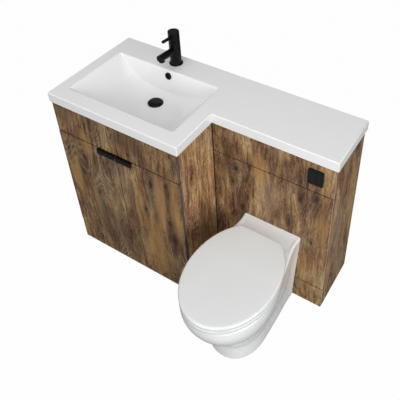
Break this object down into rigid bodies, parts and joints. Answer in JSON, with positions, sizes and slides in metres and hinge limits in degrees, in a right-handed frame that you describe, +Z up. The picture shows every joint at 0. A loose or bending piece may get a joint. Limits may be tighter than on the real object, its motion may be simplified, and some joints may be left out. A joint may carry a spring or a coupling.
{
  "type": "toilet and basin combination unit",
  "caption": "L-shaped bathroom unit: inset basin worktop over a two-door oak cabinet, joined to a slim toilet unit with concealed cistern and a back-to-wall pan with seat and lid.",
  "frame": {"origin": "on the floor against the wall, where the basin cabinet meets the toilet unit", "axes": "+X along the wall towards the toilet, +Y into the wall (the fronts face -Y), +Z up"},
  "size_m": [1.1, 0.758, 0.968],
  "materials": {
    "oak": "rustic oak grain, satin",
    "resin": "white cast resin, gloss",
    "black_metal": "matt black",
    "black_plastic": "matt black",
    "steel": "plain steel",
    "rubber": "matt",
    "pipe_plastic": "white, satin",
    "float_plastic": "blue, satin",
    "lifter_plastic": "red, satin",
    "ceramic": "white glaze",
    "seat_plastic": "white, gloss"
  },
  "bodies": {
    "unit": {"worktop": "resin", "overflow_ring": "black_metal", "basin_left_side": "oak", "basin_right_side": "oak", "basin_floor_panel": "oak", "basin_shelf": "oak", "shelf_pins": "steel", "basin_rails": "oak", "basin_fascia": "oak", "basin_plinth": "oak", "hinge_arms": "steel", "tap_body": "black_metal", "tap_aerator": "black_metal", "tap_cartridge": "pipe_plastic", "tap_stud": "steel", "tap_nut": "steel", "waste_body": "black_metal", "waste_seal": "rubber", "waste_backnut": "black_metal", "trap_bottle": "pipe_plastic", "trap_inlet_pipe": "pipe_plastic", "trap_outlet_pipe": "pipe_plastic", "trap_nuts": "pipe_plastic", "wc_left_side": "oak", "wc_right_side": "oak", "wc_rails": "oak", "wc_fascia": "oak", "wc_access_panel": "oak", "wc_plinth": "oak", "flush_plate": "black_plastic", "cistern_tank": "pipe_plastic", "cistern_lid": "pipe_plastic", "fill_valve": "pipe_plastic", "flush_valve": "pipe_plastic", "flush_pipe": "pipe_plastic", "flush_pipe_seal": "rubber", "soil_connector": "pipe_plastic", "pan": "ceramic", "pan_brackets": "pipe_plastic", "pan_screws": "steel", "seat_hinge_posts": "steel", "seat_hinge_pins": "steel", "seat_hinge_nuts": "pipe_plastic"},
    "left_leaf": {"left_door": "oak", "left_handle": "black_metal", "left_hinge_cups": "steel"},
    "right_leaf": {"right_door": "oak", "right_handle": "black_metal", "right_hinge_cups": "steel"},
    "tap_swivel": {"tap_turret": "steel"},
    "tap_top": {"tap_handle": "black_metal", "tap_lever": "black_metal"},
    "plug": {"waste_plug": "black_metal"},
    "full_button": {"full_flush_button": "black_plastic"},
    "half_button": {"half_flush_button": "black_plastic"},
    "lifter": {"flush_lifter": "lifter_plastic"},
    "float": {"float_cup": "float_plastic"},
    "seat_ring": {"seat": "seat_plastic", "seat_buffers": "seat_plastic"},
    "lid": {"seat_lid": "seat_plastic"}
  },
  "joints": [
    {"name": "left_door_hinge", "type": "hinge", "parent": "unit", "child": "left_leaf", "pos_m": [-0.586, -0.4435, 0.3775], "axis": [0, 0, -1], "range_deg": [0, 105]},
    {"name": "right_door_hinge", "type": "hinge", "parent": "unit", "child": "right_leaf", "pos_m": [0, -0.4435, 0.3775], "axis": [0, 0, 1], "range_deg": [0, 105]},
    {"name": "tap_swivel", "type": "hinge", "parent": "unit", "child": "tap_swivel", "pos_m": [-0.298, -0.055, 0.9484], "axis": [0, 0, 1], "range_deg": [-45, 45]},
    {"name": "tap_lift", "type": "hinge", "parent": "tap_swivel", "child": "tap_top", "pos_m": [-0.298, -0.055, 0.9484], "axis": [-1, 0, 0], "range_deg": [0, 20]},
    {"name": "plug_lift", "type": "slide", "parent": "unit", "child": "plug", "axis": [0, 0, 1], "range_m": [0, 0.008]},
    {"name": "full_button_press", "type": "slide", "parent": "unit", "child": "full_button", "axis": [0, 1, 0], "range_m": [0, 0.004], "stiffness_N_per_m": 600, "springref_m": -0.001},
    {"name": "half_button_press", "type": "slide", "parent": "unit", "child": "half_button", "axis": [0, 1, 0], "range_m": [0, 0.004], "stiffness_N_per_m": 600, "springref_m": -0.001},
    {"name": "lifter_slide", "type": "slide", "parent": "unit", "child": "lifter", "axis": [0, 0, 1], "range_m": [0, 0.02]},
    {"name": "float_slide", "type": "slide", "parent": "unit", "child": "float", "axis": [0, 0, 1], "range_m": [-0.09, 0]},
    {"name": "seat_hinge", "type": "hinge", "parent": "unit", "child": "seat_ring", "pos_m": [0.264, -0.343, 0.383], "axis": [1, 0, 0], "range_deg": [-95, 0]},
    {"name": "lid_hinge", "type": "hinge", "parent": "seat_ring", "child": "lid", "pos_m": [0.264, -0.343, 0.383], "axis": [-1, 0, 0], "range_deg": [0, 95]}
  ],
  "couplings": [
    {"joint": "lifter_slide", "follows": "full_button_press", "ratio": 5}
  ]
}
